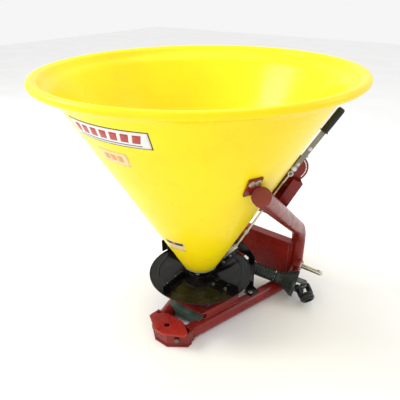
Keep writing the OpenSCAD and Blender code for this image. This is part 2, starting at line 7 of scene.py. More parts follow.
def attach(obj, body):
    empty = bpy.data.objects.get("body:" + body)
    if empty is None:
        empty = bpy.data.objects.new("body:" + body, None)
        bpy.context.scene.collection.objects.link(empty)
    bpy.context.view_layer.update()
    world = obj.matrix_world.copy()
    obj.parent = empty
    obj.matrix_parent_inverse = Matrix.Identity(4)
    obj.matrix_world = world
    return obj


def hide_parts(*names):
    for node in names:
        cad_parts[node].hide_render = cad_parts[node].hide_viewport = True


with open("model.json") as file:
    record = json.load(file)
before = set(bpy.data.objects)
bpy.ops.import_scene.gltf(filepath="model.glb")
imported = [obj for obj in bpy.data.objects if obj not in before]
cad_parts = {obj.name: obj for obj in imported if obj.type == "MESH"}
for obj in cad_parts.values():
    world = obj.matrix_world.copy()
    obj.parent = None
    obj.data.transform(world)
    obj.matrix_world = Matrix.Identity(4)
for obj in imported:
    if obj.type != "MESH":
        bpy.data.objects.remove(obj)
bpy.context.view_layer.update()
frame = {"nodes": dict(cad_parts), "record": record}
NODES = frame["nodes"]


# ---------------------------------------------------------------- materials
class Tree:
    """A small helper round one material's node tree."""

    def __init__(self, name):
        self.mat = bpy.data.materials.new(name)
        self.mat.use_nodes = True
        self.nodes = self.mat.node_tree.nodes
        self.links = self.mat.node_tree.links
        self.bsdf = self.nodes["Principled BSDF"]
        self.where = self.nodes.new("ShaderNodeTexCoord").outputs["Object"]

    def set(self, socket, value):
        if isinstance(value, (int, float)):
            socket.default_value = value
        elif isinstance(value, (tuple, list)):
            socket.default_value = (*value[:3], 1) if len(socket.default_value) == 4 else value
        else:
            self.links.new(value, socket)

    def noise(self, scale, detail=4, rough=0.55, stretch=None):
        n = self.nodes.new("ShaderNodeTexNoise")
        n.inputs["Scale"].default_value = scale
        n.inputs["Detail"].default_value = detail
        n.inputs["Roughness"].default_value = rough
        if stretch:
            m = self.nodes.new("ShaderNodeMapping")
            m.inputs["Scale"].default_value = stretch
            self.links.new(self.where, m.inputs["Vector"])
            self.links.new(m.outputs[0], n.inputs["Vector"])
        else:
            self.links.new(self.where, n.inputs["Vector"])
        return n.outputs["Fac"]

    def ramp(self, fac, low, high, a=0.0, b=1.0):
        r = self.nodes.new("ShaderNodeMapRange")
        r.inputs["From Min"].default_value = low
        r.inputs["From Max"].default_value = high
        r.inputs["To Min"].default_value = a
        r.inputs["To Max"].default_value = b
        r.clamp = True
        self.links.new(fac, r.inputs["Value"])
        return r.outputs["Result"]

    def mix(self, fac, a, b):
        m = self.nodes.new("ShaderNodeMix")
        m.data_type = "RGBA"
        self.set(m.inputs["Factor"], fac)
        self.set(m.inputs["A"], a)
        self.set(m.inputs["B"], b)
        return m.outputs["Result"]

    def maths(self, op, a, b=0.0):
        m = self.nodes.new("ShaderNodeMath")
        m.operation = op
        self.set(m.inputs[0], a)
        self.set(m.inputs[1], b)
        return m.outputs[0]

    def axis(self, which, source=None):
        s = self.nodes.new("ShaderNodeSeparateXYZ")
        self.links.new(source or self.where, s.inputs[0])
        return s.outputs[which]

    def bump(self, height, strength, distance, under=None):
        b = self.nodes.new("ShaderNodeBump")
        b.inputs["Strength"].default_value = strength
        b.inputs["Distance"].default_value = distance
        self.links.new(height, b.inputs["Height"])
        if under:
            self.links.new(under, b.inputs["Normal"])
        return b.outputs["Normal"]

    def up(self):
        g = self.nodes.new("ShaderNodeNewGeometry")
        return self.axis("Z", g.outputs["Normal"])

    def finish(self, color, rough, metal=0.0, normal=None, coat=0.0, spec=0.5):
        self.set(self.bsdf.inputs["Base Color"], color)
        self.set(self.bsdf.inputs["Roughness"], rough)
        self.set(self.bsdf.inputs["Metallic"], metal)
        self.bsdf.inputs["Coat Weight"].default_value = coat
        self.bsdf.inputs["Coat Roughness"].default_value = 0.12
        self.bsdf.inputs["Specular IOR Level"].default_value = spec
        if normal:
            self.links.new(normal, self.bsdf.inputs["Normal"])
        return self.mat


def shade(c, k):
    return tuple(min(1.0, v * k) for v in c)


def paint(name, color, rough=0.3, coat=0.35, dust=0.12, chips=0.0, orange=0.25, under=(0.05, 0.045, 0.04),
          spec=0.4):
    """Sprayed or powder-coated metal: cloudy tone, orange peel, chips to dark steel, dust on top faces."""
    t = Tree(name)
    cloud = t.noise(9, 5)
    c = t.mix(t.ramp(cloud, 0.35, 0.68), shade(color, 0.78), shade(color, 1.18))
    speck = t.noise(260, 2)
    c = t.mix(t.ramp(speck, 0.66, 0.74, 0, 0.35), c, shade(color, 0.45))
    r = t.ramp(t.noise(34, 6), 0.3, 0.7, rough * 0.75, rough * 1.4)
    if chips:
        chip = t.ramp(t.maths("MULTIPLY", t.noise(140, 3), t.noise(9, 2)), 0.44 - chips, 0.455 - chips)
        c = t.mix(chip, c, under)
        r = t.maths("ADD", r, t.maths("MULTIPLY", chip, 0.25))
    if dust:
        lying = t.maths("MULTIPLY", t.ramp(t.up(), 0.55, 1.0), t.ramp(t.noise(22, 6), 0.42, 0.75))
        d = t.maths("MULTIPLY", lying, dust)
        c = t.mix(d, c, (0.46, 0.40, 0.32))
        r = t.maths("ADD", r, t.maths("MULTIPLY", d, 0.9))
    n = t.bump(t.noise(420, 2), orange, 0.0004)
    n = t.bump(t.noise(28, 2), 0.08, 0.002, n)
    return t.finish(c, r, 0.0, n, coat, spec)


def steel(name, color, rough=0.32, stretch=(1, 1, 1), grime=0.3, passivated=0.0):
    """Plated or machined steel: fine lathe or rolling marks, cloudy plating, grime in patches."""
    t = Tree(name)
    c = t.mix(t.ramp(t.noise(24, 6), 0.35, 0.7), shade(color, 0.82), shade(color, 1.12))
    if passivated:
        c = t.mix(t.ramp(t.noise(60, 3), 0.5, 0.62, 0, passivated), c, (0.55, 0.47, 0.28))
    g = t.ramp(t.noise(46, 7, 0.65), 0.52, 0.74, 0, grime)
    c = t.mix(g, c, (0.10, 0.085, 0.07))
    r = t.ramp(t.noise(90, 4), 0.3, 0.7, rough * 0.7, rough * 1.35)
    r = t.maths("ADD", r, t.maths("MULTIPLY", g, 0.4))
    n = t.bump(t.noise(300, 3, 0.6, stretch), 0.2, 0.0003)
    metal = t.ramp(g, 0.0, 0.6, 1.0, 0.45)
    return t.finish(c, r, metal, n)


def plastic(name, color, rough=0.45, coat=0.0, grain=0.3, grain_scale=600, scuff=0.2):
    """Moulded plastic: cloudy tone, pale scuffs that are rougher, and a fine grain."""
    t = Tree(name)
    c = t.mix(t.ramp(t.noise(7, 4), 0.35, 0.7), shade(color, 0.8), shade(color, 1.25))
    s = t.ramp(t.noise(70, 8, 0.7), 0.56, 0.7, 0, scuff)
    c = t.mix(s, c, tuple(min(1, v + 0.11) for v in color))
    r = t.ramp(t.noise(30, 5), 0.3, 0.7, rough * 0.8, rough * 1.25)
    r = t.maths("ADD", r, t.maths("MULTIPLY", s, 0.5))
    n = t.bump(t.noise(grain_scale, 2), grain, 0.0003)
    return t.finish(c, r, 0.0, n, coat, 0.3)


def cast(name, color):
    """Cast iron with a sandy skin and brown patches."""
    t = Tree(name)
    c = t.mix(t.ramp(t.noise(40, 7), 0.35, 0.7), shade(color, 0.7), shade(color, 1.35))
    c = t.mix(t.ramp(t.noise(12, 5), 0.6, 0.75, 0, 0.5), c, (0.12, 0.09, 0.06))
    r = t.ramp(t.noise(60, 5), 0.3, 0.7, 0.42, 0.7)
    n = t.bump(t.noise(330, 3), 0.5, 0.0009)
    return t.finish(c, r, 0.25, n)


def rubber(name, color):
    """Dull rubber, a little dusty."""
    t = Tree(name)
    c = t.mix(t.ramp(t.noise(50, 6), 0.4, 0.7), color, shade(color, 1.9))
    n = t.bump(t.noise(500, 3), 0.35, 0.0004)
    return t.finish(c, t.ramp(t.noise(80, 3), 0.3, 0.7, 0.6, 0.85), 0.0, n)


def poly(name):
    """Rotationally moulded polyethylene: bright yellow, waxy gloss, faint flow marks and fine scuffs."""
    t = Tree(name)
    c = t.mix(t.ramp(t.noise(3.2, 4), 0.3, 0.72), (0.91, 0.68, 0.002), (0.96, 0.79, 0.003))
    c = t.mix(t.ramp(t.noise(18, 6), 0.55, 0.75, 0, 0.22), c, (0.87, 0.58, 0.001))
    # The wall's colour is darker in patches towards the throat, below about 0.46 m
    low = t.ramp(t.axis("Z"), 0.46, 0.25, 0, 0.35)
    c = t.mix(t.maths("MULTIPLY", low, t.ramp(t.noise(26, 6), 0.3, 0.7)), c, (0.62, 0.45, 0.02))
    scuff = t.ramp(t.noise(120, 8, 0.72, (1, 1, 0.35)), 0.60, 0.72, 0, 0.22)
    c = t.mix(scuff, c, (0.96, 0.78, 0.06))
    r = t.maths("ADD", t.ramp(t.noise(11, 5), 0.3, 0.7, 0.24, 0.38), t.maths("MULTIPLY", scuff, 0.8))
    n = t.bump(t.noise(170, 2), 0.10, 0.0006)
    n = t.bump(t.noise(5, 2, 0.4, (1, 1, 0.6)), 0.22, 0.012, n)
    t.set(t.bsdf.inputs["Subsurface Weight"], 0.06)
    t.bsdf.inputs["Subsurface Radius"].default_value = (0.01, 0.006, 0.001)
    return t.finish(c, r, 0.0, n, 0.12, 0.22)


def sticker(name, base, scuffed):
    """A printed label, worn in patches."""
    t = Tree(name)
    c = t.mix(t.ramp(t.noise(60, 6), 0.45, 0.75, 0, 0.4), base, scuffed)
    n = t.bump(t.noise(90, 3), 0.08, 0.0006)
    return t.finish(c, t.ramp(t.noise(40, 4), 0.3, 0.7, 0.28, 0.45), 0.0, n)


M = {
    "yellow_poly": poly("yellow_poly"),
    "red_paint": paint("red_paint", (0.20, 0.011, 0.007), 0.28, 0.10, 0.05, 0.02, spec=0.28),
    "bright_red_paint": paint("bright_red_paint", (0.34, 0.017, 0.010), 0.30, 0.12, 0.05, 0.02, spec=0.3),
    "end_cap_paint": paint("end_cap_paint", (0.24, 0.030, 0.014), 0.5, 0.1, 0.05),
    "black_paint": paint("black_paint", (0.004, 0.004, 0.0038), 0.13, 0.06, 0.03, 0.0, 0.12,
                         (0.1, 0.1, 0.1), 0.16),
    "green_grey_paint": paint("green_grey_paint", (0.05, 0.085, 0.065), 0.5, 0.1, 0.2, 0.03),
    "grey_paint": paint("grey_paint", (0.25, 0.24, 0.215), 0.38, 0.1, 0.10, 0.045, 0.2, (0.10, 0.08, 0.06)),
    "zinc_steel": steel("zinc_steel", (0.62, 0.61, 0.56), 0.3, (1, 1, 1), 0.25, 0.25),
    "dark_steel": steel("dark_steel", (0.15, 0.14, 0.13), 0.45, (1, 1, 1), 0.5),
    "bright_steel": steel("bright_steel", (0.15, 0.15, 0.15), 0.34, (0.2, 0.2, 2.0), 0.6),
    "gear_steel": steel("gear_steel", (0.36, 0.35, 0.34), 0.28, (1, 1, 1), 0.5),
    "cast_housing": cast("cast_housing", (0.055, 0.06, 0.06)),
    "yoke_steel": paint("yoke_steel", (0.014, 0.014, 0.016), 0.45, 0.05, 0.06, 0.02, 0.4,
                        (0.09, 0.085, 0.08), 0.25),
    "seal_rubber": rubber("seal_rubber", (0.016, 0.016, 0.016)),
    "black_grip": plastic("black_grip", (0.014, 0.014, 0.014), 0.5, 0.05, 0.6, 420, 0.1),
    "shield_plastic": plastic("shield_plastic", (0.016, 0.024, 0.023), 0.36, 0.1, 0.35, 500, 0.12),
}
LABEL_WHITE = sticker("label_white", (0.80, 0.80, 0.78), (0.62, 0.60, 0.55))
LABEL_DARK = sticker("label_dark", (0.03, 0.03, 0.035), (0.16, 0.15, 0.14))
LABEL_RED = sticker("label_red", (0.42, 0.02, 0.016), (0.52, 0.16, 0.12))
LABEL_ORANGE = sticker("label_orange", (0.72, 0.30, 0.06), (0.80, 0.52, 0.22))
LABEL_CREAM = sticker("label_cream", (0.78, 0.62, 0.30), (0.62, 0.46, 0.2))
WELD = paint("weld_metal", (0.20, 0.02, 0.015), 0.42, 0.2, 0.1, 0.02, 0.9)


def add_bevel(o, width):
    """Two small rounding steps on every edge sharper than 32 degrees."""
    bevel = o.modifiers.new("edges", "BEVEL")
    bevel.width = width
    bevel.segments = 2
    bevel.limit_method = "ANGLE"
    bevel.angle_limit = math.radians(32)
    bevel.harden_normals = True
    return bevel


# ---------------------------------------------------------------- CAD nodes
SLOT = {s["node"]: s["material_slot"] for s in frame["record"]["subparts"]}
# Nodes with small features, which get a finer rounding
FINE = {"bearings", "crown_gear", "pinion", "hopper_base_bolts", "control_rod", "lever_bolts", "guard_bolts"}
for name, o in NODES.items():
    o.data.materials.clear()
    o.data.materials.append(M[SLOT[name]])
    if "custom_normal" in o.data.attributes:
        o.data.attributes.remove(o.data.attributes["custom_normal"])
    o.data.polygons.foreach_set("use_smooth", [True] * len(o.data.polygons))
    o.modifiers.new("weld", "WELD").merge_threshold = 2e-6
    add_bevel(o, 0.0004 if name in FINE else 0.0009).miter_outer = "MITER_ARC"


# ---------------------------------------------------------------- mesh tools
def piece(name, verts, faces, slot, body, replaces=(), smooth=True, mats=None, index=None, bevel=0.0):
    me = bpy.data.meshes.new(name)
    me.from_pydata([tuple(v) for v in verts], [], faces)
    me.validate()
    for m in mats or [M[slot]]:
        me.materials.append(m)
    if index:
        me.polygons.foreach_set("material_index", index[:len(me.polygons)])
    me.polygons.foreach_set("use_smooth", [smooth or bevel > 0] * len(me.polygons))
    o = bpy.data.objects.new(name, me)
    bpy.context.scene.collection.objects.link(o)
    if bevel:
        add_bevel(o, bevel)
    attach(o, body)
    if replaces:
        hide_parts(*replaces)
    return o


class Bag:
    """Collects vertices and faces of several shapes for one piece."""

    def __init__(self):
        self.v, self.f = [], []

    def add(self, verts, faces):
        k = len(self.v)
        self.v += [Vector(p) for p in verts]
        self.f += [tuple(i + k for i in f) for f in faces]
        return self

    def lathe(self, profile, m=Matrix.Identity(4), seg=64, closed=False, wave=None):
        """Turns (radius, height) points about local Z; m places it. wave(angle) scales the radius."""
        verts, faces, n = [], [], len(profile)
        for j in range(seg):
            a = 2 * math.pi * j / seg
            for r, z in profile:
                k = r * (wave(a) if wave else 1.0)
                verts.append(m @ Vector((k * math.cos(a), k * math.sin(a), z)))
        last = n if closed else n - 1
        for j in range(seg):
            p, q = j * n, ((j + 1) % seg) * n
            for i in range(last):
                faces.append((p + i, q + i, q + (i + 1) % n, p + (i + 1) % n))
        return self.add(verts, faces)

    def prism(self, outline, z0, z1, m=Matrix.Identity(4)):
        n = len(outline)
        verts = [m @ Vector((x, y, z)) for z in (z0, z1) for x, y in outline]
        faces = [tuple(reversed(range(n))), tuple(range(n, 2 * n))]
        faces += [(i, (i + 1) % n, n + (i + 1) % n, n + i) for i in range(n)]
        return self.add(verts, faces)

    def sweep(self, points, radius, seg=12, ripple=0.0):
        """A round bead along points, with closed ends. ripple swells it like a row of weld stacks."""
        ring = []
        for i, p in enumerate(points):
            a = points[max(0, i - 1)]
            b = points[min(len(points) - 1, i + 1)]
            d = (b - a).normalized()
            x = d.orthogonal().normalized()
            y = d.cross(x)
            r = radius * (1 + ripple * math.sin(i * 2.1)) * (0.35 if i in (0, len(points) - 1) else 1)
            ring.append([p + (x * math.cos(t) + y * math.sin(t)) * r
                         for t in (2 * math.pi * k / seg for k in range(seg))])
        # Keep the rings from twisting
        for i in range(1, len(ring)):
            best = min(range(seg), key=lambda s: (ring[i][s] - ring[i - 1][0]).length)
            ring[i] = ring[i][best:] + ring[i][:best]
            if (ring[i][1] - ring[i - 1][1]).length > (ring[i][-1] - ring[i - 1][1]).length:
                ring[i] = [ring[i][0]] + ring[i][:0:-1]
        verts = [p for r in ring for p in r]
        faces = [(i * seg + k, i * seg + (k + 1) % seg, (i + 1) * seg + (k + 1) % seg, (i + 1) * seg + k)
                 for i in range(len(ring) - 1) for k in range(seg)]
        faces += [tuple(range(seg))[::-1], tuple(range((len(ring) - 1) * seg, len(ring) * seg))]
        return self.add(verts, faces)

    def make(self, name, slot, body, **more):
        return piece(name, self.v, self.f, slot, body, **more)


def frame_at(p, d, up=None):
    """A matrix whose local Z is d, at p."""
    z = Vector(d).normalized()
    x = Vector(up).cross(z).normalized() if up else z.orthogonal().normalized()
    y = z.cross(x)
    m = Matrix((x, y, z)).transposed().to_4x4()
    m.translation = Vector(p)
    return m


# Lengths are in metres, except where MM turns millimetres into them
MM = 0.001

# The hopper's straight outer wall, from its foot to where the rim's curve starts, in millimetres
CONE_FOOT_R = 69
CONE_FOOT_Z = 246
CONE_TOP_R = 465
CONE_TOP_Z = 959
CONE_SLOPE = (CONE_TOP_R - CONE_FOOT_R) / (CONE_TOP_Z - CONE_FOOT_Z)
CONE_ANGLE = math.atan(CONE_SLOPE)
WALL = 5


def cone_r(z):
    return CONE_FOOT_R + CONE_SLOPE * (z - CONE_FOOT_Z)


# ---------------------------------------------------------------- hopper
def arc(cx, cz, r, a0, a1, n):
    """n + 1 points round (cx, cz), from a0 to a1 degrees."""
    return [(cx + r * math.cos(math.radians(a0 + (a1 - a0) * i / n)),
             cz + r * math.sin(math.radians(a0 + (a1 - a0) * i / n))) for i in range(n + 1)]


def hopper():
    """The hollow shell, turned from its outer and inner profiles in millimetres."""
    deg = math.degrees(CONE_ANGLE)
    bend = 68
    cx = CONE_TOP_R + bend * math.cos(CONE_ANGLE)
    cz = CONE_TOP_Z - bend * math.sin(CONE_ANGLE)
    outer = [(45.5, CONE_FOOT_Z), (62, CONE_FOOT_Z), (66.5, 246.4), (69.0, 247.6)]
    # Three faint grooves round the outer wall
    for z in range(262, 952, 23):
        dip = 0.9 if z in (331, 630, 837) else 0.0
        outer.append((cone_r(z) - dip, z))
    outer += arc(cx, cz, bend, 180 - deg, 92, 14)
    outer += arc(527, 1007, 13, -90, 62, 16)
    inner = arc(527, 1003, 16.9, 88, 128, 5)
    inner += [(510, 1015.4), (506.5, 1012), (503.5, 1008)]
    inner += arc(cx, cz, bend + WALL, 112, 180 - deg, 12)
    for z in range(940, 262, -26):
        inner.append((cone_r(z) - WALL / math.cos(CONE_ANGLE), z))
    inner += [(63.5, 251.4), (60, 251), (45.5, 251)]
    prof = [(r * MM, z * MM) for r, z in outer + inner]
    Bag().lathe(prof, seg=224, closed=True).make("hopper_shell", "yellow_poly", "frame", replaces=["hopper"])


def on_wall(az, z, lift):
    """A point on the hopper's outer wall, lift mm off it."""
    r = cone_r(z) + lift * math.cos(CONE_ANGLE)
    zz = z - lift * math.sin(CONE_ANGLE)
    a = math.radians(az)
    return Vector((r * math.cos(a), r * math.sin(a), zz)) * MM


def within(quad, u, v):
    """The point at fractions u and v across a quad of (azimuth, height) corners."""
    a = [(1 - u) * quad[0][n] + u * quad[1][n] for n in (0, 1)]
    b = [(1 - u) * quad[3][n] + u * quad[2][n] for n in (0, 1)]
    return tuple((1 - v) * a[n] + v * b[n] for n in (0, 1))


def patch(name, quad, lift, material, cells=(28, 8), thick=0.25):
    """A thin label wrapped on the wall. quad is (azimuth, height) for its four corners, going round."""
    verts, faces = [], []
    nu, nv = cells
    for k in (lift, lift - thick):
        for j in range(nv + 1):
            for i in range(nu + 1):
                u, v = i / nu, j / nv
                az, z = within(quad, u, v)
                verts.append(on_wall(az, z, k))

    def at(k, i, j):
        return k * (nu + 1) * (nv + 1) + j * (nu + 1) + i

    for j in range(nv):
        for i in range(nu):
            faces.append((at(0, i, j), at(0, i, j + 1), at(0, i + 1, j + 1), at(0, i + 1, j)))
            faces.append((at(1, i, j), at(1, i + 1, j), at(1, i + 1, j + 1), at(1, i, j + 1)))
    for i in range(nu):
        faces.append((at(0, i, 0), at(0, i + 1, 0), at(1, i + 1, 0), at(1, i, 0)))
        faces.append((at(0, i, nv), at(1, i, nv), at(1, i + 1, nv), at(0, i + 1, nv)))
    for j in range(nv):
        faces.append((at(0, 0, j), at(1, 0, j), at(1, 0, j + 1), at(0, 0, j + 1)))
        faces.append((at(0, nu, j), at(0, nu, j + 1), at(1, nu, j + 1), at(1, nu, j)))
    return piece(name, verts, faces, "yellow_poly", "frame", mats=[material])


def inset(quad, u0, u1, v0, v1):
    """A smaller quad inside quad, by fractions."""
    return [within(quad, u, v) for u, v in ((u0, v0), (u1, v0), (u1, v1), (u0, v1))]


def labels():
    """The front panel, a small tag and a low label, each built up from thin layers."""
    panel = [(-104.4, 883), (-66.6, 883), (-66.6, 940), (-104.4, 940)]
    patch("label_panel_edge", panel, 0.45, LABEL_DARK)
    patch("label_panel", inset(panel, 0.012, 0.988, 0.05, 0.95), 0.62, LABEL_WHITE)
    # Seven plain bands in a row, leaning a little, with no lettering
    lean = (-0.6, -0.6, 0.6, 0.6)
    for i in range(7):
        a = 0.07 + i * 0.125
        band = inset(panel, a, a + 0.085, 0.30, 0.78)
        band = [(az + shift, z) for (az, z), shift in zip(band, lean)]
        patch(f"label_band_{i + 1}", band, 0.80, LABEL_RED, (6, 4))
    patch("label_underline", inset(panel, 0.07, 0.90, 0.14, 0.19), 0.80, LABEL_DARK, (24, 1))
    tag = [(-97.5, 803), (-81, 803), (-80, 852), (-96, 852)]
    patch("label_tag", tag, 0.45, LABEL_CREAM, (12, 6))
    for i in range(3):
        patch(f"label_tag_bar_{i + 1}", inset(tag, 0.16 + i * 0.24, 0.34 + i * 0.24, 0.3, 0.72), 0.62,
              LABEL_ORANGE, (4, 3))
    low = [(-98, 388), (-70, 396), (-70, 448), (-96, 446)]
    patch("label_low", low, 0.45, LABEL_CREAM, (16, 6))
    patch("label_low_band", inset(low, 0.04, 0.96, 0.62, 0.92), 0.62, LABEL_DARK, (16, 2))
    patch("label_low_mark", inset(low, 0.42, 0.56, 0.68, 0.86), 0.80, LABEL_ORANGE, (4, 2))


# ---------------------------------------------------------------- the lever's plane
UPZ = Vector((0, 0, 1))
AZ = math.radians(39.4)
RHO = Vector((math.cos(AZ), math.sin(AZ), 0))
ZL = Vector((math.sin(AZ), -math.cos(AZ), 0))
# How far out and how high the lever's pivot is, in millimetres
PIVOT_RHO = 340
PIVOT_Z = 664
LEVER_ANGLE = 56.5
CRANK = 20
CRANK_ANGLE = 230


# ---------------------------------------------------------------- welds, washers, fittings
def ring_points(m, r, a0=0, a1=360, n=40, z=0.0):
    return [m @ Vector((r * math.cos(math.radians(a)), r * math.sin(math.radians(a)), z))
            for a in (a0 + (a1 - a0) * i / n for i in range(n + 1))]


def line_points(a, b, n=26):
    a, b = Vector(a), Vector(b)
    return [a.lerp(b, i / n) for i in range(n + 1)]


PIPE = [Vector(p) * MM for p in ((65, -168, 30.15), (215, 426, 30.15), (215, 434, 280), (339, -124, 697))]


def flip(points, s):
    return [Vector((s * p.x, p.y, p.z)) for p in points]


def welds():
    """Rippled beads where the frame's members meet, alike on both sides."""
    w = Bag()
    for s in (1, -1):
        # Cross plate to riser, and the flange along its top
        w.sweep(flip(line_points((0.2035, 0.3995, 0.075), (0.2035, 0.402, 0.222)), s), 0.0030, 10, 0.16)
        w.sweep(flip(line_points((0.1995, 0.3725, 0.072), (0.1995, 0.3725, 0.224)), s), 0.0026, 10, 0.16)
        # Hitch pin boss to riser
        w.sweep(flip(ring_points(frame_at((0.2470, 0.410, 0.114), (1, 0, 0)), 0.0240), s), 0.0028, 10, 0.16)
        # Mount plate to the pipe's end
        u = (PIPE[3] - PIPE[2]).normalized()
        w.sweep(flip(ring_points(frame_at(PIPE[3] - u * 0.0012, u), 0.0300, 20, 340), s), 0.0020, 10, 0.12)
        # Gearbox support along the pipes
        w.sweep(flip(line_points((0.0885, -0.090, 0.0600), (0.1335, 0.082, 0.0600), 36), s), 0.0028, 10, 0.16)
        # Top bar to the arms
        w.sweep(flip(line_points((0.228, 0.214, 0.4395), (0.228, 0.248, 0.4395), 12), s), 0.0024, 10, 0.16)
        # Ears to the bar
        w.sweep(flip(line_points((0.0410, 0.220, 0.4490), (0.0410, 0.247, 0.4490), 12), s), 0.0024, 10, 0.16)
        # Drawbar web to both plates
        for z in (0.0085, 0.0595):
            edge = ((0.0955, -0.172), (0.0945, -0.196), (0.062, -0.2215), (0.0310, -0.2460))
            w.sweep(flip([Vector((x, y, z)) for x, y in edge], s), 0.0020, 8, 0.1)
    w.make("weld_beads", "red_paint", "frame", mats=[WELD])
    # The bead across the lever's post
    p = Bag()
    a = (RHO * 313 + ZL * 14.5 + UPZ * 600) * MM
    b = (RHO * 352 + ZL * 14.5 + UPZ * 577) * MM
    p.sweep(line_points(a, b, 14), 0.0018, 8, 0.14)
    p.make("weld_post", "red_paint", "frame", mats=[WELD])


def washer(bag, m, r_in, r_out, t):
    bag.lathe([(r_in, 0), (r_out - 0.0004, 0), (r_out, 0.0003), (r_out, t - 0.0003), (r_out - 0.0004, t),
               (r_in, t)], m, 40, True)


def thread(bag, m, r, length, pitch=0.0015):
    prof, z = [(0.0, 0.0)], 0.0
    while z < length:
        prof += [(r * 0.88, z), (r, z + pitch / 2)]
        z += pitch
    prof += [(r * 0.86, z), (0.0, z + 0.0006)]
    bag.lathe(prof, m, 24)


def hexagon(bag, m, across, h):
    r = across / math.sqrt(3)
    angles = [math.radians(60 * k + 30) for k in range(6)]
    bag.prism([(r * math.cos(a), r * math.sin(a)) for a in angles], 0, h, m)


def on_cone_matrix(az, z, x=0.0, y=0.0, lift=0.0):
    """The CAD's on_cone frame: local +X runs down the wall and local +Z out of it."""
    m = (Matrix.Rotation(math.radians(az), 4, "Z") @ Matrix.Translation((cone_r(z) * MM, 0, z * MM))
         @ Matrix.Rotation(math.pi / 2 + CONE_ANGLE, 4, "Y"))
    return m @ Matrix.Translation((x * MM, y * MM, lift * MM))


def fasteners():
    """Washers on the frame, the gearbox nuts and the hitch pins' shoulders."""
    w = Bag()
    for s in (1, -1):
        side = Matrix.Scale(s, 4, (1, 0, 0))
        for v in (-18, 4):
            washer(w, side @ on_cone_matrix(-22, 735, -12, v, 7.02), 0.0054, 0.0118, 0.0014)
        washer(w, side @ Matrix.Translation((0.143, 0.164, 0.06452)), 0.0044, 0.0095, 0.0012)
    for x in (-1, 1):
        for y in (-1, 1):
            washer(w, Matrix.Translation((x * 0.066, y * 0.040, 0.10202)), 0.0054, 0.0115, 0.0014)
    w.make("frame_washers", "zinc_steel", "frame", bevel=0.0)
    # Nuts and threaded ends under the gearbox support
    n = Bag()
    for x in (-1, 1):
        for y in (-1, 1):
            m = frame_at((x * 0.066, y * 0.040, 0.0858), (0, 0, -1))
            hexagon(n, m, 0.0165, 0.0075)
            thread(n, m @ Matrix.Translation((0, 0, 0.0070)), 0.0049, 0.005)
    n.make("gearbox_nuts", "zinc_steel", "frame", bevel=0.0004)
    # The turned shoulder on each hitch pin
    h = Bag()
    for s in (1, -1):
        m = frame_at((s * 0.252, 0.410, 0.114), (s, 0, 0))
        h.lathe([(0.0132, -0.002), (0.0150, -0.002), (0.0165, -0.0005), (0.0165, 0.0020), (0.0150, 0.0032),
                 (0.0132, 0.0032)], m, 48, True)
    h.make("hitch_pin_shoulders", "zinc_steel", "frame", bevel=0.0)


def spinner_fittings():
    """Two pressed beads round the disc, and washers under the hub's bolts."""
    b = Bag()
    # The stiffening bead out on the disc, and the one round its hub
    b.lathe([(0.168, 0.2071), (0.170, 0.2083), (0.173, 0.2088), (0.176, 0.2083), (0.178, 0.2071)], seg=128)
    b.lathe([(0.0440, 0.2071), (0.0445, 0.2090), (0.0465, 0.2096), (0.0485, 0.2090), (0.0490, 0.2071)],
            seg=96)
    b.make("disc_beads", "black_paint", "spinner")
    w = Bag()
    for a in (20, 110, 200, 290):
        c = Matrix.Rotation(math.radians(a), 4, "Z") @ Matrix.Translation((0.032, 0, 0.21202))
        washer(w, c, 0.0044, 0.0085, 0.0008)
    w.make("hub_washers", "zinc_steel", "spinner")


def gearbox_details():
    """Cast ribs on the housing, its cover's bolts and the plug in the cover."""
    g = Bag()
    half = 0.0025
    across = Matrix(((0, 0, 1, 0), (1, 0, 0, 0), (0, 1, 0, 0), (0, 0, 0, 1)))
    front_rib = [(0.0485, 0.1025), (0.0485, 0.160), (0.0520, 0.156), (0.0560, 0.1025)]
    side_rib = [(0.0478, 0.1025), (0.0478, 0.162), (0.0505, 0.158), (0.0600, 0.1025)]
    for x in (-0.030, 0.0, 0.030):
        g.prism(front_rib, x - half, x + half, across)
    for s in (1, -1):
        along = Matrix(((s, 0, 0, 0), (0, 0, 1, 0), (0, 1, 0, 0), (0, 0, 0, 1)))
        for y in (-0.022, 0.010):
            g.prism(side_rib, y - half, y + half, along)
    g.make("gearbox_ribs", "cast_housing", "frame", bevel=0.0008)
    b = Bag()
    for x in (-1, 1):
        for z in (-1, 1):
            m = frame_at((x * 0.042, -0.0510, 0.132 + z * 0.030), (0, -1, 0))
            washer(b, m, 0.0031, 0.0068, 0.0010)
            hexagon(b, m @ Matrix.Translation((0, 0, 0.0010)), 0.0098, 0.0042)
    m = frame_at((0.0, -0.0510, 0.145), (0, -1, 0))
    b.lathe([(0.0, 0.006), (0.008, 0.006), (0.0092, 0.005), (0.0092, 0.0)], m, 32)
    hexagon(b, m @ Matrix.Translation((0, 0, 0.0055)), 0.011, 0.0045)
    b.make("gearbox_cover_bolts", "zinc_steel", "frame", bevel=0.0004)


# ---------------------------------------------------------------- lever and rod
def lever_matrix(off, angle, along=0.0):
    """Local +Z runs along the lever at that angle from the pivot; local +Y is off the lever's plane."""
    d = RHO * math.cos(math.radians(angle)) + UPZ * math.sin(math.radians(angle))
    p = (RHO * PIVOT_RHO + UPZ * PIVOT_Z + ZL * off) * MM + d * along * MM
    x = ZL.cross(d)
    m = Matrix((x, ZL, d)).transposed().to_4x4()
    m.translation = p
    return m


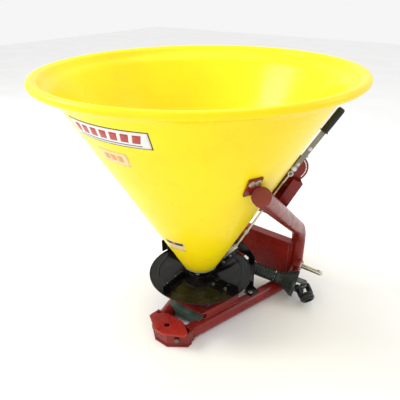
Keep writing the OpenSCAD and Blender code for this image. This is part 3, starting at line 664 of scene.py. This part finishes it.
def grip():
    """A slightly oval ribbed sleeve, with its heights counted back from the lever's tip."""
    prof = [(0.0093, -98 * MM), (0.0140, -98 * MM), (0.0158, -97.2 * MM), (0.0160, -95.6 * MM),
            (0.0158, -94 * MM), (0.0135, -92.4 * MM)]
    z = -90.0
    while z < -16:
        prof += [(0.01335, z * MM), (0.0138, (z + 0.8) * MM), (0.0139, (z + 2.4) * MM),
                 (0.0134, (z + 3.3) * MM), (0.01305, (z + 3.8) * MM)]
        z += 4.6
    prof += [(0.0137, -12 * MM), (0.0133, -8 * MM), (0.0120, -4 * MM), (0.0098, -1.2 * MM),
             (0.0070, -0.3 * MM), (0.0, -0.05 * MM)]
    m = lever_matrix(19, LEVER_ANGLE, 262)

    def oval(a):
        return 1.0 - 0.05 * (1 - math.cos(2 * a)) / 2

    Bag().lathe(prof, m, 56, wave=oval).make("grip_sleeve", "black_grip", "lever", replaces=["lever_grip"])


def lever_fittings():
    """Washers under the lever's bolts, and one on its pivot."""
    facing = Matrix.Rotation(-math.pi / 2, 4, "X")
    b = Bag()
    for x in (22, 90):
        washer(b, lever_matrix(22.5, LEVER_ANGLE, x) @ facing, 0.0040, 0.0078, 0.0009)
    b.make("lever_washers", "zinc_steel", "lever")
    c = Bag()
    washer(c, lever_matrix(22.6, 0) @ facing, 0.0061, 0.0098, 0.0003)
    c.make("pivot_washer", "zinc_steel", "frame")


def rod_fittings():
    """Two lock nuts and some thread on the control rod, and the split pin at its foot."""
    c = math.radians(CRANK_ANGLE)
    pin = (RHO * (PIVOT_RHO + CRANK * math.cos(c)) + UPZ * (PIVOT_Z + CRANK * math.sin(c))) * MM
    jog = pin - (RHO * 24 + UPZ * 34) * MM + ZL * 28.5 * MM
    low = (RHO * 156 + UPZ * 346) * MM
    b = Bag()
    d = (low - jog).normalized()
    hexagon(b, frame_at(low - d * 0.060, d), 0.0125, 0.007)
    hexagon(b, frame_at(low - d * 0.050, d), 0.0125, 0.004)
    for k in range(9):
        m = frame_at(low - d * (0.045 - k * 0.0012), d)
        b.lathe([(0.0040, 0), (0.00435, 0.0005), (0.0040, 0.001)], m, 20)
    b.make("rod_lock_nuts", "zinc_steel", "rod", bevel=0.0004)
    foot = (RHO * 142 + UPZ * 322) * MM
    steps = (-1, -0.6, -0.2, 0.2, 0.6, 1.0, 1.3)
    e = Bag()
    wire = [foot + ZL * 0.0093 + RHO * t * 0.0065 + UPZ * 0.0008 * math.sin(t * 3) for t in steps]
    e.sweep(wire, 0.0007, 8)
    e.make("foot_split_pin", "zinc_steel", "gate")


# ---------------------------------------------------------------- driveline
# The two joint centres, the shaft's direction D between them, and the end yoke's direction E
NEAR = Vector((0, 240, 128)) * MM
D = Vector((302, 93, -60)).normalized()
PITCH = UPZ.cross(D).normalized()
FAR = NEAR + D * 0.322
E = Vector((42, -28, -27)).normalized()


def shields():
    """The two halves of the guard, turned about the shaft's line from the near joint's centre."""
    m = Matrix((PITCH, D.cross(PITCH), D)).transposed().to_4x4()
    m.translation = NEAR
    # Ribbed outer shield with a bearing collar
    prof = [(0.0255, 0.0605), (0.0312, 0.0605), (0.0328, 0.0615), (0.0329, 0.0700), (0.0322, 0.0716),
            (0.0292, 0.0726), (0.0277, 0.0740)]
    z = 0.080
    while z < 0.186:
        prof += [(0.0272, z), (0.0279, z + 0.0010), (0.0279, z + 0.0022), (0.0272, z + 0.0032)]
        z += 0.0125
    prof += [(0.0272, 0.1890), (0.0279, 0.1900), (0.0279, 0.1935), (0.0270, 0.1939), (0.0256, 0.1939),
             (0.0256, 0.150), (0.0256, 0.100)]
    tube = Bag().lathe(prof, m, 80, True)
    tube.make("shield_tube", "shield_plastic", "outer_shaft", replaces=["outer_shield"])
    bell = [(0.0164, 0.1982), (0.0263, 0.1982), (0.0273, 0.1990), (0.0274, 0.2140), (0.0268, 0.2150),
            (0.0268, 0.2180), (0.0274, 0.2190), (0.0275, 0.2250), (0.0302, 0.2310), (0.0326, 0.2364),
            (0.0338, 0.2378), (0.0346, 0.2400), (0.0380, 0.2462), (0.0414, 0.2522), (0.0426, 0.2538),
            (0.0434, 0.2562), (0.0476, 0.2628), (0.0518, 0.2698), (0.0530, 0.2712), (0.0540, 0.2736),
            (0.0568, 0.2774), (0.0580, 0.2798), (0.0590, 0.2850), (0.0589, 0.2868), (0.0596, 0.2880),
            (0.0599, 0.2912), (0.0593, 0.2919), (0.0574, 0.2919), (0.0566, 0.2885), (0.0552, 0.2792),
            (0.0402, 0.2572), (0.0302, 0.2392), (0.0247, 0.2272), (0.0247, 0.2122), (0.0164, 0.2118)]
    b = Bag().lathe(bell, m, 96, True)
    # Moulded ribs down the bell
    rib = ((0.0280, 0.2270), (0.0330, 0.2370), (0.0382, 0.2462), (0.0436, 0.2560), (0.0492, 0.2652),
           (0.0546, 0.2744), (0.0576, 0.2796))
    for k in range(10):
        a = 2 * math.pi * k / 10
        b.sweep([m @ Vector((r * math.cos(a), r * math.sin(a), z)) for r, z in rib], 0.0016, 8)
    b.make("bell_shell", "shield_plastic", "inner_shaft", replaces=["shield_bell"])


def cross_caps(bag, centre, direction):
    """The bearing caps on both ends of one arm of a cross."""
    for s in (1, -1):
        m = frame_at(centre + direction * s * 0.0302, direction * s)
        bag.lathe([(0.0, 0.0022), (0.0066, 0.0022), (0.0078, 0.0014), (0.0079, 0.0)], m, 32)


def driveline_fittings():
    """Bearing caps on the crosses, a grease nipple and the lock collar's grip rings."""
    a = Bag()
    cross_caps(a, NEAR, UPZ)
    a.make("near_cross_caps", "bright_steel", "near_cross")
    fa = D.cross(PITCH).normalized()
    fb = fa.cross(E).normalized()
    b = Bag()
    cross_caps(b, FAR, fb)
    # Grease nipple
    g = frame_at(FAR, (fa + fb).normalized())
    b.lathe([(0.003, 0.0125), (0.003, 0.0150), (0.0021, 0.0156), (0.0021, 0.0175), (0.0027, 0.0182),
             (0.0020, 0.0200), (0.0, 0.0202)], g, 20)
    b.make("far_cross_caps", "bright_steel", "far_cross")
    # Grip rings: low ridges 2.4 mm apart
    c = Bag()
    rings = [(0.0305, 0.0), (0.0309, 0.0010), (0.0303, 0.0022), (0.0309, 0.0034), (0.0303, 0.0046),
             (0.0309, 0.0058), (0.0303, 0.0070), (0.0309, 0.0082), (0.0303, 0.0094), (0.0309, 0.0106),
             (0.0304, 0.0118)]
    c.lathe(rings, frame_at(FAR + E * 0.0483, E), 72)
    c.make("collar_grip_rings", "shield_plastic", "collar")


# ---------------------------------------------------------------- light, floor, camera
def stage():
    """A pale floor just under the part, an even white sky and four soft lights."""
    s = 9.0
    z = -0.0006
    me = bpy.data.meshes.new("floor")
    me.from_pydata([(-s, -s, z), (s, -s, z), (s, s, z), (-s, s, z)], [], [(0, 1, 2, 3)])
    floor = bpy.data.objects.new("floor", me)
    t = Tree("floor_paint")
    c = t.mix(t.ramp(t.noise(2.5, 4), 0.3, 0.7), (0.90, 0.90, 0.90), (0.94, 0.94, 0.935))
    me.materials.append(t.finish(c, 0.75, 0.0, t.bump(t.noise(60, 3), 0.03, 0.001)))
    bpy.context.scene.collection.objects.link(floor)
    world = bpy.data.worlds.new("studio")
    world.use_nodes = True
    world.node_tree.nodes["Background"].inputs["Color"].default_value = (1.0, 1.0, 1.0, 1)
    world.node_tree.nodes["Background"].inputs["Strength"].default_value = 0.92
    bpy.context.scene.world = world

    def area(name, at, to, size, power, color=(1, 1, 1)):
        light = bpy.data.lights.new(name, "AREA")
        light.shape = "RECTANGLE"
        light.size, light.size_y = size
        light.energy = power
        light.color = color
        o = bpy.data.objects.new(name, light)
        o.matrix_world = frame_at(at, Vector(at) - Vector(to), (0, 0, 1))
        bpy.context.scene.collection.objects.link(o)

    area("key", (-2.6, -1.6, 2.9), (0, 0, 0.6), (1.6, 1.6), 78, (1.0, 0.99, 0.97))
    area("front", (0.2, -3.3, 1.9), (0, 0, 0.5), (2.2, 1.4), 18, (1.0, 0.99, 0.97))
    area("rim", (2.6, 1.9, 2.3), (0.1, 0.1, 0.5), (1.2, 1.2), 14)
    area("top", (-0.3, 0.3, 3.6), (0, 0, 0.7), (2.2, 2.2), 20)


def camera():
    """The photograph's view: from the rear right, looking down, and rolled by under a degree."""
    cam = bpy.data.cameras.new("photo_view")
    cam.sensor_width = 36
    cam.lens = 39.25
    cam.shift_x = 0.005
    o = bpy.data.objects.new("photo_view", cam)
    fwd = Vector((-0.5705, 0.6856, -0.4523)).normalized()
    right = Vector((0.7687, 0.6396, 0)).normalized()
    up = right.cross(fwd).normalized()
    roll = -0.0134
    rolled_right = right * math.cos(roll) + up * math.sin(roll)
    rolled_up = up * math.cos(roll) - right * math.sin(roll)
    m = Matrix((rolled_right, rolled_up, -fwd)).transposed().to_4x4()
    m.translation = Vector((0.9345, -1.1336, 1.2771))
    o.matrix_world = m
    bpy.context.scene.collection.objects.link(o)
    bpy.context.scene.camera = o
    bpy.context.scene.view_settings.view_transform = "Standard"


hopper()
labels()
welds()
fasteners()
spinner_fittings()
gearbox_details()
grip()
lever_fittings()
rod_fittings()
shields()
driveline_fittings()
stage()
camera()
